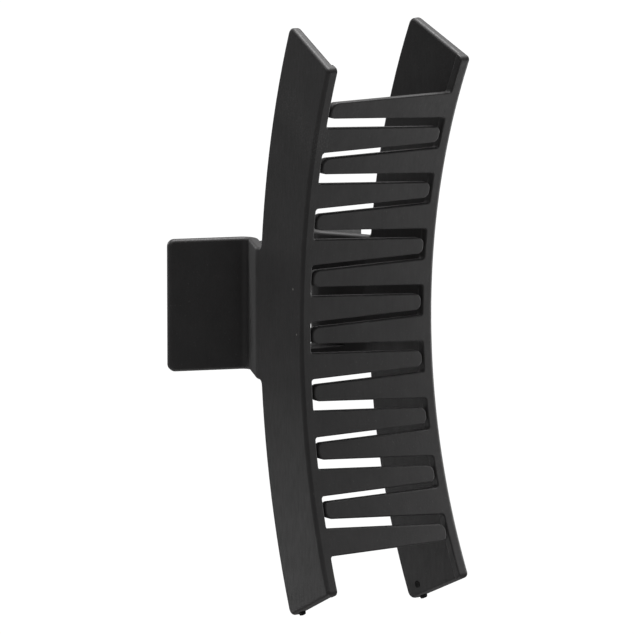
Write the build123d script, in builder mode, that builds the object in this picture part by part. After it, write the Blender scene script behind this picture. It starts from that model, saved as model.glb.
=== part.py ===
from build123d import *

import os
from math import asin, atan2, cos, degrees, pi, radians, sin, sqrt, tan

# A large spring hair claw, closed and standing on the four ends of its arched jaws.
# Millimetres. X runs along the clip, Y across it (front jaw at -Y), Z is up.
# The origin is on the standing surface, under the middle of the clip.

# Comb wall: a flat plate, arched in its own plane, that leans in towards the top
arch_radius = 121.0  # of the lower edge
wall_height = 16.7
wall_thickness = 2.0
wall_lean = 6.2  # degrees from upright
end_angle = 24.4  # degrees from the middle of the arch to its radial end cut
half_width = 15.4  # centre plane to the outer lower edge, at the crown
top_corner_radius = 1.5
foot_corner_radius = 0.9
skin_edge_radius = 0.65
blank_angle = 60  # that the plate spans before its ends are cut

# Comb: the rim along the inside of the wall's lower edge, and its teeth
rim_width = 2.4  # with the wall's own thickness
rim_overlap = 0.9  # how far inside the wall's outer skin the rim starts
comb_thickness = 1.8
tooth_count = 8
tooth_pitch = 10.95
comb_offset = -4.9  # of the middle of the teeth's straight flanks from the clip's middle
root_width = 4.95
tip_width = 3.05
tip_clearance = 0.4  # to the opposite rim
tip_radius = 1.3
root_radius = 0.55
comb_edge_radius = 0.25
comb_overrun = 1.1  # length before the ends are cut, in lengths of the lower edge

# Arm and finger tab: one bent strip, its outer skin given as points across and up
strip_width = 25.7
strip_thickness = 2.0
strip_start = 12.0  # height up the wall at which the strip is already inside it
neck_height = 17.9  # height in the wall's plane at which the strip bends inwards
neck_bend_radius = 4.0
neck_fillet = 1.0  # between the arm's sides and the wall's crest
arm_top = (8.3, 28.0)  # from the centre plane, and above the crown of the lower edge
tab_tip = (22.8, 33.8)
tab_bend_radius = 1.2
tab_corner_radius = 1.4

# Hinge
hinge_height = 25.4  # above the crown of the lower edge
pin_diameter = 1.8
running_clearance = 0.04  # radial, in the rear jaw's lugs
lug_radius = 2.5
lug_width = 3.2
lug_edge_radius = 0.3
outer_lug = 10.6  # centre of the lug near the strip's side
inner_lug = 7.0  # centre of the lug beside the spring
web_foot = 21.9  # middle of the web's lower end inside the arm, above the crown
web_top = 26.6
web_end_radius = 0.5
pin_end = 12.4
pin_head_radius = 1.5
pin_head_start = 12.3
pin_head_height = 0.5
pin_head_rounding = 0.4
pin_chamfer = 0.2

# Torsion spring
wire_diameter = 0.9
coil_pitch = 1.02
coil_turns = 8
leg_bend_radius = 1.6
leg_length = 9.0  # of the straight part that lies on a tab
leg_gap = 0.04  # between a leg and the tab it presses on
leg_slope = 58.0  # degrees from level, between the coil and the bend
coil_steps = 96  # points that the coil's curve is drawn through
coil_ease = 0.6  # radians over which the pitch dies away at each end of the coil

lean = radians(wall_lean)
plan_radius = arch_radius / cos(lean)
plan_end = asin(arch_radius * sin(radians(end_angle)) / plan_radius)
foot_swing = plan_end - asin(foot_corner_radius / (plan_radius + foot_corner_radius))
crown_height = (plan_radius + foot_corner_radius) * (1 - cos(foot_swing))
hinge_z = crown_height + hinge_height
half_strip = strip_width / 2
wall_plane = Plane(
    origin=(0, -half_width, crown_height),
    x_dir=(1, 0, 0),
    z_dir=(0, -cos(lean), sin(lean)),
)

# Turn of the strip at the neck, and how far its bend reaches along the wall
neck_y = -half_width + neck_height * sin(lean)
neck_z = crown_height + neck_height * cos(lean)
arm_rise = crown_height + arm_top[1] - neck_z
arm_lean = atan2(-arm_top[0] - neck_y, arm_rise)
neck_reach = neck_bend_radius * tan((arm_lean - lean) / 2)

# The legs leave the coil at one slope and lie along the tabs at the other, so both of
# a leg's straight parts are tangent to the coil and the bend is midway between them
tab_slope = atan2(tab_tip[1] - arm_top[1], tab_tip[0] - arm_top[0])
tab_top_height = strip_thickness + (
    (arm_top[1] - hinge_height) * cos(tab_slope) - arm_top[0] * sin(tab_slope)
)
coil_radius = tab_top_height + leg_gap + wire_diameter / 2
leg_angle = radians(leg_slope) - pi / 2
bend_angle = (leg_angle + tab_slope + pi / 2) / 2
bend_distance = coil_radius / cos(bend_angle - leg_angle)
wrap = 2 * pi * coil_turns + pi + 2 * leg_angle
half_coil = coil_pitch * (wrap - coil_ease) / (4 * pi)


def outer_y(x):
    """Distance of the wall's outer lower edge from the centre plane at x."""
    drop = arch_radius - sqrt(arch_radius**2 - x**2)
    return half_width + drop * sin(lean)


def arch_z(x):
    """Height of the comb's underside at x."""
    return crown_height - plan_radius + sqrt(plan_radius**2 - x**2)


def middle_of(edge):
    """Height of an edge's middle over the comb's underside."""
    centre = edge.center()
    return centre.Z - arch_z(centre.X)


def arm_middle(height):
    """Y and Z of the middle of the front arm's thickness, that far above the crown."""
    climbed = (crown_height + height - neck_z) / arm_rise
    y = neck_y + climbed * (-arm_top[0] - neck_y) + strip_thickness / 2 * cos(arm_lean)
    return (y, crown_height + height - strip_thickness / 2 * sin(arm_lean))


def on_wall(height):
    """Y and Z of the front wall's outer skin at the crown, that far up the wall."""
    return (-half_width + height * sin(lean), crown_height + height * cos(lean))


def arch_band(inner, outer):
    """A sector between two heights over the lower edge's arch, wide enough for either jaw."""
    with BuildPart() as band:
        with BuildSketch(Plane.XZ.offset(-2 * half_width)):
            with BuildLine():
                middle = (0, crown_height - plan_radius)
                start = 90 - degrees(plan_end)
                low = CenterArc(middle, plan_radius + inner, start, 2 * degrees(plan_end))
                high = CenterArc(middle, plan_radius + outer, start, 2 * degrees(plan_end))
                Line(low @ 0, high @ 0)
                Line(low @ 1, high @ 1)
            make_face()
        extrude(amount=4 * half_width)
    return band.part


def wall_and_strip():
    """The front wall with its arm and tab, rounded all along both skins."""
    neck_start = neck_height - neck_reach
    crest_end = arch_radius * sin(radians(end_angle))
    blank_start = 90 - blank_angle / 2
    band = arch_band(0, 2 * wall_height)
    with BuildPart() as skin:
        with BuildSketch(wall_plane):
            with BuildLine():
                middle = (0, -arch_radius)
                low = CenterArc(middle, arch_radius - wall_thickness, blank_start, blank_angle)
                high = CenterArc(middle, arch_radius + wall_height, blank_start, blank_angle)
                Line(low @ 0, high @ 0)
                Line(low @ 1, high @ 1)
            make_face()
            with Locations((0, neck_start)):
                Rectangle(strip_width, wall_height, align=(Align.CENTER, Align.MAX))
            inside = vertices().filter_by(lambda v: abs(v.X) < crest_end)
            neck = inside.filter_by(lambda v: 0 < v.Y < neck_start - neck_fillet)
            fillet(neck, neck_fillet)
        extrude(amount=-wall_thickness)
        add(band, mode=Mode.INTERSECT)
        fillet(edges().sort_by(Axis.Z)[:2], foot_corner_radius)
        fillet([edges().sort_by(Axis.X)[0], edges().sort_by(Axis.X)[-1]], top_corner_radius)
        with BuildSketch(Plane.YZ):
            with BuildLine():
                FilletPolyline(
                    on_wall(strip_start),
                    on_wall(neck_height),
                    (-arm_top[0], crown_height + arm_top[1]),
                    (-tab_tip[0], crown_height + tab_tip[1]),
                    radius=(neck_bend_radius, tab_bend_radius),
                )
                offset(amount=strip_thickness, side=Side.RIGHT)
            make_face()
        extrude(amount=half_strip, both=True)
        tab_end = faces().sort_by(Axis.Y)[0]
        fillet(tab_end.edges().filter_by(Axis.X, reverse=True), tab_corner_radius)
        tab_end = faces().sort_by(Axis.Y)[0]
        # Both skins, but not the rounded ends of the feet, the wall's end cuts or the tab's end
        across = faces().filter_by(lambda f: abs(f.normal_at().X) < 0.01)
        skins = across.filter_by(lambda f: f.normal_at().Z > -0.99 and f != tab_end)
        outlines = skins.edges()
        fillet([e for e in outlines if outlines.count(e) == 1], skin_edge_radius)
    return skin.part


def comb():
    """The front jaw's rim and teeth, arched like the wall's lower edge."""
    rim_end = comb_overrun * arch_radius * sin(radians(end_angle))
    corners = [(rim_end, rim_width - outer_y(rim_end))]
    radii = [0]
    for i in range(tooth_count):
        flank = comb_offset + tooth_pitch * ((tooth_count - 1) / 2 - i)
        root = flank + root_width
        tip_y = outer_y(flank + tip_width / 2) - rim_width - tip_clearance
        corners.append((root, rim_width - outer_y(root)))
        corners.append((flank + tip_width, tip_y))
        corners.append((flank, tip_y))
        corners.append((flank, rim_width - outer_y(flank)))
        radii += [root_radius, tip_radius, tip_radius, root_radius]
    corners.append((-rim_end, rim_width - outer_y(rim_end)))
    radii.append(0)
    for i in range(tooth_count + 1):
        x = rim_end * (2 * i / tooth_count - 1)
        corners.append((x, rim_overlap - outer_y(x)))
        radii.append(0)
    band = arch_band(0, comb_thickness)
    with BuildPart() as plate:
        with BuildSketch():
            with BuildLine():
                FilletPolyline(*corners, radius=radii, close=True)
            make_face()
        extrude(amount=crown_height + 2 * comb_thickness, both=True)
        add(band, mode=Mode.INTERSECT)
        fillet(edges().sort_by(Axis.Z)[:2], foot_corner_radius)
        # The long edges above and below the comb's upright sides
        sides = faces().filter_by(lambda f: abs(f.normal_at().Z) < 0.3)
        half = comb_thickness / 2
        rims = sides.edges().filter_by(lambda e: abs(middle_of(e) - half) > 0.4 * half)
        fillet(rims, comb_edge_radius)
    return plate.part


def lug(x):
    """A hinge knuckle centred at x, with the web that joins it to the front arm."""
    with BuildPart() as knuckle:
        with BuildSketch(Plane.YZ.offset(x)):
            with BuildLine():
                CenterArc((0, hinge_z), lug_radius, 0, 360)
                CenterArc(arm_middle(web_foot), web_end_radius, 0, 360)
                CenterArc(arm_middle(web_top), web_end_radius, 0, 360)
            make_hull()
        extrude(amount=lug_width / 2, both=True)
        fillet(faces().filter_by(Axis.X).edges(), lug_edge_radius)
    return knuckle.part


def moulded_half():
    """The front half of the clip, its lugs not yet bored."""
    wall = wall_and_strip()
    plate = comb()
    lugs = [lug(outer_lug), lug(-inner_lug)]
    with BuildPart() as half:
        add(wall)
        add(plate)
        add(lugs)
    return half.part


def bore(radius):
    """A cylinder along the hinge axis through all the lugs."""
    with BuildPart() as hole:
        with BuildSketch(Plane.YZ):
            with Locations((0, hinge_z)):
                Circle(radius)
        extrude(amount=half_strip, both=True)
    return hole.part


def coil_point(angle):
    """Where the wire is after winding that far clockwise from the rear leg."""
    eased = ramp(angle) if angle < wrap / 2 else wrap - coil_ease - ramp(wrap - angle)
    y = coil_radius * cos(leg_angle - angle)
    z = hinge_z + coil_radius * sin(leg_angle - angle)
    return (half_coil - coil_pitch * eased / (2 * pi), y, z)


def ramp(angle):
    """Turning that counts towards the pitch, which builds up from nothing at the leg."""
    return angle**2 / (2 * coil_ease) if angle < coil_ease else angle - coil_ease / 2


def leg_points(side):
    """Start, bend and end of a leg's centre line, outwards from the coil."""
    x = side * half_coil
    start = (x, side * coil_radius * cos(leg_angle), hinge_z + coil_radius * sin(leg_angle))
    bend = (x, side * bend_distance * cos(bend_angle), hinge_z + bend_distance * sin(bend_angle))
    end = (x, bend[1] + side * leg_length * cos(tab_slope), bend[2] + leg_length * sin(tab_slope))
    return (start, bend, end)


blank = moulded_half()
press_bore = bore(pin_diameter / 2)
running_bore = bore(pin_diameter / 2 + running_clearance)

with BuildPart() as front_jaw:
    add(blank)
    add(press_bore, mode=Mode.SUBTRACT)

with BuildPart() as rear_jaw:
    add(blank.rotate(Axis.Z, 180))
    add(running_bore, mode=Mode.SUBTRACT)

with BuildPart() as hinge_pin:
    with BuildSketch(Plane.YZ.offset(pin_end)):
        with Locations((0, hinge_z)):
            Circle(pin_diameter / 2)
    extrude(amount=-pin_end - pin_head_start)
    chamfer(faces().sort_by(Axis.X)[-1].edges(), pin_chamfer)
    with BuildSketch(Plane.YZ.offset(-pin_head_start)):
        with Locations((0, hinge_z)):
            Circle(pin_head_radius)
    extrude(amount=-pin_head_height)
    fillet(faces().sort_by(Axis.X)[0].edges(), pin_head_rounding)

with BuildPart() as torsion_spring:
    with BuildLine() as wire:
        FilletPolyline(*reversed(leg_points(1)), radius=leg_bend_radius)
        Spline(
            *[coil_point(wrap * i / coil_steps) for i in range(coil_steps + 1)],
        )
        FilletPolyline(*leg_points(-1), radius=leg_bend_radius)
    path = wire.wires()[0]
    with BuildSketch(Plane(origin=path @ 0, z_dir=path % 0)):
        Circle(wire_diameter / 2)
    sweep(path=path)

front_jaw.part.label = "front_jaw"
rear_jaw.part.label = "rear_jaw"
hinge_pin.part.label = "hinge_pin"
torsion_spring.part.label = "torsion_spring"

os.makedirs("parts", exist_ok=True)
for piece in (front_jaw, rear_jaw, hinge_pin, torsion_spring):
    export_step(piece.part, f"parts/{piece.part.label}.step")
    print(piece.part.label, round(piece.part.volume, 1), piece.part.is_valid)
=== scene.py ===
import math

import bmesh
import bpy
from mathutils import Matrix, Vector


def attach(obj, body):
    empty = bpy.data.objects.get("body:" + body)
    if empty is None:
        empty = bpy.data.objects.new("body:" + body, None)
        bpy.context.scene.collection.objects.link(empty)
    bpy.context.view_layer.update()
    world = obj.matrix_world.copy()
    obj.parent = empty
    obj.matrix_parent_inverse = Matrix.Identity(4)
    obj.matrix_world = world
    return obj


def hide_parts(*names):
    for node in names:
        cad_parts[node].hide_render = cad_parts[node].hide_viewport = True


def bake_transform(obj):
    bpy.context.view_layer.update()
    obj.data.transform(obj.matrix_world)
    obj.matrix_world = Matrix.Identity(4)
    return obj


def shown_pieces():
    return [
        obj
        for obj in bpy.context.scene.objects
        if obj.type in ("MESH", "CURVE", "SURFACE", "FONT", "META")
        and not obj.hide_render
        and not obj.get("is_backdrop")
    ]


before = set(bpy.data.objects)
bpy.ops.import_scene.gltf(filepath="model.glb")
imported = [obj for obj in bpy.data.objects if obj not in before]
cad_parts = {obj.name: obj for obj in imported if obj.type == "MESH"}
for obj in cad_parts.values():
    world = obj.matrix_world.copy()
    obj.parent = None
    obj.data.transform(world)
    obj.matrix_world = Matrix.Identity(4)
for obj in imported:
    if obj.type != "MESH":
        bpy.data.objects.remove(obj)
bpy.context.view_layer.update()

CROWN = 0.010451  # height of the middle of the arched lower edge
# The photograph's right, depth and up. It looks up at the clip from in front, with +X upwards.
TURN = math.radians(55.08)  # upwards from level
TIP = math.radians(9.46)  # towards -X
RIGHT = Vector((0, math.sin(TURN), -math.cos(TURN)))
LOOK = Vector((-math.sin(TIP), math.cos(TIP) * math.cos(TURN), math.cos(TIP) * math.sin(TURN)))
UP = RIGHT.cross(LOOK)
MIDDLE = Vector((0, 0, 0.02))

# Of the moulded halves, in millimetres and radians
ARCH_RADIUS = 121.0  # of a wall's lower edge
HALF_WIDTH = 15.4  # centre plane to a wall's outer lower edge, at the crown
LEAN = math.radians(6.2)  # of a wall from upright
END_ANGLE = math.radians(24.4)  # from the middle of the arch to a wall's end cut

# Of the spring, in millimetres and radians
HINGE_HEIGHT = 35.851
COIL_RADIUS = 1.8215  # to the middle of the wire
COIL_PITCH = 1.02
COIL_TURNS = 8
COIL_EASE = 0.6  # turning over which the pitch dies away at each end of the coil
COIL_STEPS = 320
LEG_SLOPE = math.radians(58.0)
LEG_BEND = 1.6
LEG_LENGTH = 9.0
TAB_SLOPE = math.radians(21.801)
WIRE_RADIUS = 0.45
WIRE_SIDES = 16
CUT_END = 0.72  # a cut end's radius, as a share of the wire's


# ---------------------------------------------------------------- node helpers
class Graph:
    """Short names for building one material's nodes."""

    def __init__(self, name):
        self.material = bpy.data.materials.new(name)
        self.material.use_nodes = True
        self.tree = self.material.node_tree
        self.shader = self.tree.nodes["Principled BSDF"]

    def node(self, kind, **settings):
        node = self.tree.nodes.new("ShaderNode" + kind)
        for key, value in settings.items():
            setattr(node, key, value)
        return node

    def put(self, socket, value):
        if isinstance(value, bpy.types.NodeSocket):
            self.tree.links.new(value, socket)
        else:
            socket.default_value = value

    def millimetres(self):
        place = self.node("TexCoord").outputs["Object"]
        scaled = self.node("VectorMath", operation="SCALE")
        self.put(scaled.inputs[0], place)
        self.put(scaled.inputs["Scale"], 1000)
        return scaled.outputs[0]

    def stretch(self, place, scale):
        mapping = self.node("Mapping")
        self.put(mapping.inputs["Vector"], place)
        self.put(mapping.inputs["Scale"], scale)
        return mapping.outputs[0]

    def noise(self, place, scale, detail=3.0, rough=0.5):
        noise = self.node("TexNoise")
        self.put(noise.inputs["Vector"], place)
        self.put(noise.inputs["Scale"], scale)
        self.put(noise.inputs["Detail"], detail)
        self.put(noise.inputs["Roughness"], rough)
        return noise.outputs["Fac"]

    def remap(self, value, low, high, to_low=0.0, to_high=1.0):
        remap = self.node("MapRange", clamp=True)
        for socket, item in zip(remap.inputs[:5], (value, low, high, to_low, to_high)):
            self.put(socket, item)
        return remap.outputs[0]

    def math(self, operation, a, b=0.0):
        node = self.node("Math", operation=operation)
        self.put(node.inputs[0], a)
        self.put(node.inputs[1], b)
        return node.outputs[0]

    def blend(self, factor, a, b):
        mix = self.node("Mix", data_type="RGBA")
        self.put(mix.inputs["Factor"], factor)
        self.put(mix.inputs["A"], a)
        self.put(mix.inputs["B"], b)
        return mix.outputs["Result"]

    def near(self, place, centre, inner, outer):
        """1 within inner mm of a point, falling to 0 at outer mm."""
        distance = self.node("VectorMath", operation="DISTANCE")
        self.put(distance.inputs[0], place)
        self.put(distance.inputs[1], centre)
        return self.remap(distance.outputs["Value"], inner, outer, 1.0, 0.0)

    def bump(self, height, depth, strength=1.0, normal=None):
        bump = self.node("Bump")
        self.put(bump.inputs["Height"], height)
        self.put(bump.inputs["Distance"], depth)
        self.put(bump.inputs["Strength"], strength)
        if normal is not None:
            self.put(bump.inputs["Normal"], normal)
        return bump.outputs[0]


def edge_wear(graph, radius):
    """1 on convex and concave edges, from how far a bevelled normal turns from the true one."""
    bevel = graph.node("Bevel", samples=6)
    bevel.inputs["Radius"].default_value = radius
    dot = graph.node("VectorMath", operation="DOT_PRODUCT")
    graph.put(dot.inputs[0], bevel.outputs[0])
    graph.put(dot.inputs[1], graph.node("NewGeometry").outputs["Normal"])
    return graph.remap(dot.outputs["Value"], 0.995, 0.9)


# ---------------------------------------------------------------- materials
def soft_touch(name, shift, marks, shade=1.0, specular=0.42, sheen=0.06):
    """Rubberised black moulding: fine grain, faint cloudiness, handling marks and a little dust."""
    g = Graph(name)
    place = g.millimetres()
    moved = g.node("VectorMath", operation="ADD")
    g.put(moved.inputs[0], place)
    g.put(moved.inputs[1], shift)
    mm = moved.outputs[0]
    grain = g.noise(mm, 7.0, 2.0)
    cloud = g.noise(mm, 0.16, 4.0, 0.6)
    rub = g.noise(g.stretch(mm, (0.35, 2.2, 2.2)), 0.9, 4.0, 0.65)
    pits = g.noise(mm, 2.4, 1.0)
    dust = g.remap(g.noise(mm, 3.1, 0.0), 0.79, 0.83)
    patch = 0.0
    for centre, inner, outer in marks["patches"]:
        patch = g.math("MAXIMUM", patch, g.near(place, centre, inner, outer))
    speckle = g.remap(g.noise(mm, 3.6, 2.0, 0.7), 0.50, 0.66)
    rubbed = g.math("MULTIPLY", patch, speckle)
    specks = 0.0
    for centre, size in marks["specks"]:
        specks = g.math("MAXIMUM", specks, g.near(place, centre, size * 0.5, size))
    wear = g.math("MULTIPLY", edge_wear(g, 0.0005), g.remap(g.noise(mm, 0.8, 3.0), 0.35, 0.7))

    low = (0.0215 * shade, 0.0205 * shade, 0.0208 * shade, 1)
    high = (0.0305 * shade, 0.0290 * shade, 0.0295 * shade, 1)
    colour = g.blend(g.remap(cloud, 0.3, 0.7), low, high)
    colour = g.blend(g.math("MULTIPLY", wear, 0.35), colour, (0.055, 0.053, 0.053, 1))
    colour = g.blend(g.math("MULTIPLY", rubbed, 0.55), colour, (0.105, 0.102, 0.100, 1))
    colour = g.blend(g.math("MULTIPLY", dust, 0.22), colour, (0.15, 0.145, 0.14, 1))
    colour = g.blend(g.math("MULTIPLY", specks, 0.75), colour, (0.32, 0.31, 0.30, 1))
    g.put(g.shader.inputs["Base Color"], colour)

    rough = g.remap(rub, 0.3, 0.7, 0.50, 0.64)
    rough = g.math("SUBTRACT", rough, g.math("MULTIPLY", wear, 0.10))
    rough = g.math("ADD", rough, g.math("MULTIPLY", g.math("ADD", rubbed, dust), 0.10))
    g.put(g.shader.inputs["Roughness"], rough)
    g.put(g.shader.inputs["Specular IOR Level"], specular)
    g.put(g.shader.inputs["Sheen Weight"], sheen)
    g.put(g.shader.inputs["Sheen Roughness"], 0.45)

    normal = g.bump(grain, 0.000012, 0.8)
    normal = g.bump(g.remap(pits, 0.3, 0.42), 0.000010, 0.6, normal)
    normal = g.bump(cloud, 0.00010, 0.5, normal)
    g.put(g.shader.inputs["Normal"], normal)
    return g.material


def drawn_steel(name, colour, along, wear_scale, follows_wire=False):
    """Steel wire or rod with fine drawing lines, a little tarnish and dull spots."""
    g = Graph(name)
    mm = g.millimetres()
    line_place = g.node("TexCoord").outputs["UV"] if follows_wire else mm
    lines = g.noise(g.stretch(line_place, along), 6.0, 4.0, 0.7)
    tarnish = g.noise(mm, wear_scale, 4.0, 0.6)
    spots = g.remap(g.noise(mm, 3.0, 2.0), 0.62, 0.72)
    dark = tuple(c * 0.62 for c in colour[:3]) + (1,)
    tone = g.blend(g.remap(tarnish, 0.35, 0.7), colour, dark)
    tone = g.blend(g.math("MULTIPLY", spots, 0.4), tone, (0.16, 0.13, 0.11, 1))
    g.put(g.shader.inputs["Base Color"], tone)
    g.put(g.shader.inputs["Metallic"], 1.0)
    rough = g.remap(lines, 0.25, 0.75, 0.22, 0.42)
    g.put(g.shader.inputs["Roughness"], g.math("ADD", rough, g.math("MULTIPLY", spots, 0.2)))
    g.put(g.shader.inputs["Normal"], g.bump(lines, 0.000008, 0.7))
    return g.material


# Rubbed patches as (centre, inner radius, outer radius) and dust specks as (centre, size), in millimetres
front_marks = {
    "patches": [
        ((42.0, -15.0, 15.0), 1.5, 6.0),
        ((35.5, -15.9, 6.0), 1.0, 5.5),
        ((38.5, -15.4, 10.5), 1.0, 6.5),
    ],
    "specks": [
        ((22.1, -15.7, 7.6), 0.34),
        ((6.7, -15.1, 13.5), 0.30),
        ((-1.8, -15.2, 12.1), 0.24),
        ((8.6, -16.0, 5.0), 0.26),
    ],
}
rear_marks = {
    "patches": [((-30.0, 15.4, 9.0), 0.5, 5.0)],
    "specks": [((14.0, 15.3, 12.0), 0.26), ((-21.0, 15.6, 7.0), 0.22)],
}
front_plastic = soft_touch("soft_touch_front", (0, 0, 0), front_marks)
rear_plastic = soft_touch("soft_touch_rear", (31, 17, 5), rear_marks)
pin_steel = drawn_steel("pin_steel", (0.50, 0.49, 0.48, 1), (0.25, 3, 3), 0.7)
spring_steel = drawn_steel("spring_steel", (0.56, 0.55, 0.53, 1), (0.12, 14, 1), 0.5, follows_wire=True)
no_marks = {"patches": [], "specks": []}
# Darker and duller than the moulding: torn plastic on the gate nubs, and painted shade on the ejector
# mark.
torn_plastic_and_painted_shade = soft_touch("torn_plastic_and_painted_shade", (7, 3, 11), no_marks, shade=0.3, specular=0.10, sheen=0.0)


def finish_node(name, material):
    """Gives a carried-over CAD node its material."""
    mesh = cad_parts[name].data
    mesh.materials.clear()
    mesh.materials.append(material)


finish_node("front_jaw", front_plastic)
finish_node("rear_jaw", rear_plastic)
finish_node("hinge_pin", pin_steel)
finish_node("torsion_spring", spring_steel)


# ---------------------------------------------------------------- mesh helper
def mesh_object(name, mesh, material):
    """Makes an object of a finished bmesh."""
    data = bpy.data.meshes.new(name)
    mesh.to_mesh(data)
    mesh.free()
    data.materials.append(material)
    obj = bpy.data.objects.new(name, data)
    bpy.context.scene.collection.objects.link(obj)
    return obj


# ---------------------------------------------------------------- the spring
def coil_and_legs():
    """Centre line of the wire at rest, in millimetres: rear leg, coil, front leg."""
    leg_angle = LEG_SLOPE - math.pi / 2
    wrap = 2 * math.pi * COIL_TURNS + math.pi + 2 * leg_angle
    half_coil = COIL_PITCH * (wrap - COIL_EASE) / (4 * math.pi)

    def eased(angle):
        """Turning that counts towards the pitch, which builds up from nothing at the leg."""
        return angle**2 / (2 * COIL_EASE) if angle < COIL_EASE else angle - COIL_EASE / 2

    def leg(side):
        """From the coil outwards: up its slope, round a bend and along the tab."""
        bend_angle = (leg_angle + TAB_SLOPE + math.pi / 2) / 2
        reach = COIL_RADIUS / math.cos(bend_angle - leg_angle)
        start = Vector((side * COIL_RADIUS * math.cos(leg_angle), COIL_RADIUS * math.sin(leg_angle)))
        corner = Vector((side * reach * math.cos(bend_angle), reach * math.sin(bend_angle)))
        tip = corner + LEG_LENGTH * Vector((side * math.cos(TAB_SLOPE), math.sin(TAB_SLOPE)))
        into, out = (corner - start).normalized(), (tip - corner).normalized()
        turn = into.angle(out)
        cut = LEG_BEND * math.tan(turn / 2)
        first, last = corner - into * cut, corner + out * cut
        middle = corner + (out - into).normalized() * LEG_BEND / math.cos(turn / 2)
        line = [start.lerp(first, i / 4) for i in range(4)]
        for i in range(9):
            spoke = (first - middle).slerp(last - middle, i / 8)
            line.append(middle + spoke)
        line += [last.lerp(tip, i / 8) for i in range(1, 9)]
        return [Vector((side * half_coil, p.x, HINGE_HEIGHT + p.y)) for p in line]

    coil = []
    for i in range(1, COIL_STEPS):
        angle = wrap * i / COIL_STEPS
        climbed = eased(angle) if angle < wrap / 2 else wrap - COIL_EASE - eased(wrap - angle)
        y, z = COIL_RADIUS * math.cos(leg_angle - angle), COIL_RADIUS * math.sin(leg_angle - angle)
        coil.append(Vector((half_coil - COIL_PITCH * climbed / (2 * math.pi), y, HINGE_HEIGHT + z)))
    return leg(1)[::-1] + coil + leg(-1)


def wire_mesh(name, line, radius, sides, material):
    """A round wire swept along a line without twisting, its cut ends slightly rounded."""
    mesh = bmesh.new()
    uv = mesh.loops.layers.uv.new("along")
    tangents = [(b - a).normalized() for a, b in zip(line[:1] + line[:-1], line[1:] + line[-1:])]
    across = tangents[0].orthogonal().normalized()
    stations = [(line[0], CUT_END)] + [(p, 1.0) for p in line] + [(line[-1], CUT_END)]
    turns = [tangents[0]] + tangents + [tangents[-1]]
    lift = 0.12 * radius
    stations[1] = (line[0] + tangents[0] * lift, 1.0)
    stations[-2] = (line[-1] - tangents[-1] * lift, 1.0)
    rings, travelled, lengths = [], 0.0, []
    for i, ((point, share), tangent) in enumerate(zip(stations, turns)):
        across = (across - tangent * across.dot(tangent)).normalized()
        other = tangent.cross(across)
        if i:
            travelled += (point - stations[i - 1][0]).length
        lengths.append(travelled)
        ring = []
        for k in range(sides):
            angle = 2 * math.pi * k / sides
            spoke = across * math.cos(angle) + other * math.sin(angle)
            ring.append(mesh.verts.new((point + spoke * radius * share) / 1000))
        rings.append(ring)
    for i in range(len(rings) - 1):
        for k in range(sides):
            after = (k + 1) % sides
            face = mesh.faces.new((rings[i][k], rings[i][after], rings[i + 1][after], rings[i + 1][k]))
            face.smooth = True
            places = ((i, k), (i, k + 1), (i + 1, k + 1), (i + 1, k))
            for loop, (station, step) in zip(face.loops, places):
                loop[uv].uv = (lengths[station], step / sides)
    mesh.faces.new(rings[0][::-1])
    mesh.faces.new(rings[-1])
    return mesh_object(name, mesh, material)


spring = wire_mesh("spring_wire", coil_and_legs(), WIRE_RADIUS, WIRE_SIDES, spring_steel)
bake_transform(spring)
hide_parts("torsion_spring")


# ---------------------------------------------------------------- moulding marks
def nub(name, centre, length, width, height, outward, along, material, body):
    """A small rounded lump of plastic on a face, in millimetres, its foot sunk in the face."""
    mesh = bmesh.new()
    bmesh.ops.create_cube(mesh, size=1.0)
    for vert in mesh.verts:
        taper = 0.8 if vert.co.z > 0 else 1.0
        x, y = vert.co.x * length * taper, vert.co.y * width * taper
        vert.co = Vector((x, y, (vert.co.z + 0.3) * height))
    rounding = 0.28 * min(width, height)
    bmesh.ops.bevel(mesh, geom=mesh.edges[:], offset=rounding, segments=3, affect="EDGES", profile=0.5)
    for face in mesh.faces:
        face.smooth = True
    out, run = outward.normalized(), along.normalized()
    side = out.cross(run)
    turn = Matrix((run, side, out)).transposed().to_4x4()
    mesh.transform(Matrix.Translation(centre / 1000) @ turn @ Matrix.Scale(0.001, 4))
    obj = mesh_object(name, mesh, material)
    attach(obj, body)


def round_mark(name, centre, radius, height, outward, material, body):
    """The round mark an ejector pin leaves: a low disc with a rounded rim and a slight dish."""
    mesh = bmesh.new()
    steps = 32
    # As shares of the radius and of the height, from the foot to the dish
    profile = ((1.0, -1.0), (1.0, 0.3), (0.95, 0.8), (0.86, 1.0), (0.7, 0.85), (0.35, 0.45))
    out = outward.normalized()
    across = out.orthogonal().normalized()
    other = out.cross(across)
    rings = []
    for share, lift in profile:
        ring = []
        for k in range(steps):
            angle = 2 * math.pi * k / steps
            spoke = across * math.cos(angle) + other * math.sin(angle)
            ring.append(mesh.verts.new((centre + spoke * radius * share + out * height * lift) / 1000))
        rings.append(ring)
    for lower, upper in zip(rings[:-1], rings[1:]):
        for k in range(steps):
            after = (k + 1) % steps
            mesh.faces.new((lower[k], lower[after], upper[after], upper[k])).smooth = True
    mesh.faces.new(rings[0][::-1])
    mesh.faces.new(rings[-1]).smooth = True
    obj = mesh_object(name, mesh, material)
    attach(obj, body)


def wall_end(side, height, depth):
    """A point on a wall's -X end cut. Side -1 is the front wall, and depth is in from its outer skin."""
    reach = ARCH_RADIUS + height
    up = reach * math.cos(END_ANGLE) - ARCH_RADIUS
    y = HALF_WIDTH - up * math.sin(LEAN) - depth * math.cos(LEAN)
    z = CROWN * 1000 + up * math.cos(LEAN) - depth * math.sin(LEAN)
    return Vector((-reach * math.sin(END_ANGLE), side * y, z))


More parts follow.
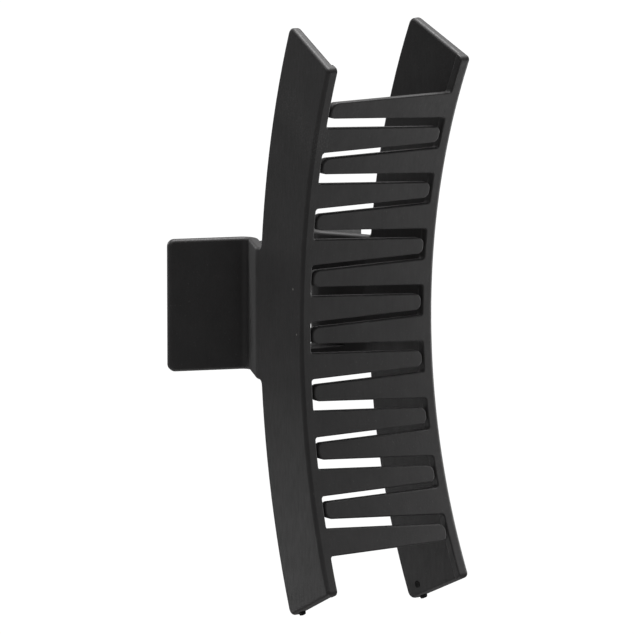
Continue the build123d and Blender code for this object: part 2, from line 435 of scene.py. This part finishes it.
def wall_axes(side):
    """Outwards from a wall's -X end cut, and up along it."""
    rise = Vector((0, -side * math.sin(LEAN), math.cos(LEAN)))
    ahead = Vector((1, 0, 0))
    outward = -ahead * math.cos(END_ANGLE) - rise * math.sin(END_ANGLE)
    return outward, rise * math.cos(END_ANGLE) - ahead * math.sin(END_ANGLE)


for jaw, side, height in (("front_jaw", -1, 13.2), ("rear_jaw", 1, 13.4)):
    outward, along = wall_axes(side)
    nub(jaw + "_gate", wall_end(side, height, 1.0), 1.5, 1.0, 0.6, outward, along, torn_plastic_and_painted_shade, jaw)
# The ejector mark's darker, duller material is painted shade, standing in for the shade in its dish.
round_mark(
    "rear_jaw_ejector",
    Vector((-53.3, 13.19, 12.3)),
    radius=0.72,
    height=0.10,
    outward=Vector((0, -math.cos(LEAN), -math.sin(LEAN))),
    material=torn_plastic_and_painted_shade,
    body="rear_jaw",
)


# ---------------------------------------------------------------- camera, floor and light
def camera():
    """A long lens at the photograph's angle."""
    data = bpy.data.cameras.new("camera")
    data.lens = 409.4
    data.sensor_width = 36
    data.clip_start = 0.05
    obj = bpy.data.objects.new("camera", data)
    bpy.context.scene.collection.objects.link(obj)
    distance, left, raised = 1.370, 0.00955, 0.00036
    where = Vector((0, 0, CROWN)) - distance * LOOK - left * RIGHT + raised * UP
    obj.matrix_world = Matrix.Translation(where) @ Matrix((RIGHT, UP, -LOOK)).transposed().to_4x4()
    bpy.context.scene.camera = obj


def floor():
    """Pale floor under the clip. The photograph looks up from below it, so its underside is clear."""
    bpy.ops.mesh.primitive_plane_add(size=6, location=(0, 0, -0.0002))
    obj = bpy.context.object
    obj.name = "floor"
    g = Graph("floor_paint")
    tone = g.blend(g.noise(g.millimetres(), 0.02, 3.0), (0.80, 0.80, 0.79, 1), (0.84, 0.84, 0.835, 1))
    g.put(g.shader.inputs["Base Color"], tone)
    g.put(g.shader.inputs["Roughness"], 0.7)
    clear = g.node("BsdfTransparent")
    mix = g.node("MixShader")
    g.put(mix.inputs[0], g.node("NewGeometry").outputs["Backfacing"])
    g.put(mix.inputs[1], g.shader.outputs[0])
    g.put(mix.inputs[2], clear.outputs[0])
    out = next(n for n in g.tree.nodes if n.type == "OUTPUT_MATERIAL")
    g.put(out.inputs["Surface"], mix.outputs[0])
    obj.data.materials.append(g.material)
    obj.visible_diffuse = False
    obj.visible_glossy = False
    obj.visible_transmission = False
    obj.visible_shadow = False
    obj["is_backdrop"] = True


def soft_light(name, aim, direction, distance, size, power, lights_floor=True):
    """A square soft box, that far from a point in that direction and turned to it. Metres and watts."""
    data = bpy.data.lights.new(name, "AREA")
    data.shape = "SQUARE"
    data.size = size
    data.energy = power
    obj = bpy.data.objects.new(name, data)
    bpy.context.scene.collection.objects.link(obj)
    direction = direction.normalized()
    obj.location = aim + direction * distance
    obj.rotation_euler = direction.to_track_quat("Z", "Y").to_euler()
    obj.visible_camera = False
    if not lights_floor:
        obj.light_linking.receiver_collection = clip_only


def white_room(far, near):
    """White surroundings. The clip is lit mostly from the side that the photograph is taken from."""
    world = bpy.data.worlds.new("white_room")
    world.use_nodes = True
    tree = world.node_tree
    link = tree.links.new
    place = tree.nodes.new("ShaderNodeTexCoord")
    facing = tree.nodes.new("ShaderNodeVectorMath")
    facing.operation = "DOT_PRODUCT"
    facing.inputs[1].default_value = -LOOK
    link(place.outputs["Generated"], facing.inputs[0])
    level = tree.nodes.new("ShaderNodeMapRange")
    level.interpolation_type = "SMOOTHSTEP"
    for socket, value in zip(level.inputs[1:5], (-0.35, 0.85, far, near)):
        socket.default_value = value
    link(facing.outputs["Value"], level.inputs[0])
    lit = tree.nodes["Background"]
    lit.inputs[0].default_value = (1, 1, 1, 1)
    link(level.outputs[0], lit.inputs[1])
    seen = tree.nodes.new("ShaderNodeBackground")
    seen.inputs[0].default_value = (1, 1, 1, 1)
    seen.inputs[1].default_value = 1.05
    mix = tree.nodes.new("ShaderNodeMixShader")
    path = tree.nodes.new("ShaderNodeLightPath")
    link(path.outputs["Is Camera Ray"], mix.inputs[0])
    link(lit.outputs[0], mix.inputs[1])
    link(seen.outputs[0], mix.inputs[2])
    link(mix.outputs[0], tree.nodes["World Output"].inputs["Surface"])
    bpy.context.scene.world = world


camera()
floor()
clip_only = bpy.data.collections.new("clip_only")
for lit_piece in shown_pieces():
    clip_only.objects.link(lit_piece)
white_room(0.03, 0.31)
soft_light("end_light", MIDDLE, UP + LOOK * 0.05, 0.7, 0.45, 10.5)
soft_light("side_light", MIDDLE, Vector((-0.10, 0.95, -0.30)), 0.13, 0.10, 0.11, lights_floor=False)
near_end = Vector((-0.053, -0.0140, 0.026))
soft_light("left_light", near_end, Vector((-0.25, -0.25, 0.94)), 0.10, 0.05, 0.010, lights_floor=False)
soft_light("low_light", MIDDLE, -UP + LOOK * 0.05, 0.3, 0.2, 0.3)
tab_middle = Vector((0, -0.023, 0.04))
soft_light("tab_light", tab_middle, -RIGHT - UP * 0.3 + LOOK * 0.05, 0.3, 0.12, 0.09, lights_floor=False)
soft_light("top_light", MIDDLE, Vector((0.1, 0.0, 1.0)), 0.8, 0.2, 0.45)
bpy.context.scene.view_settings.view_transform = "Standard"
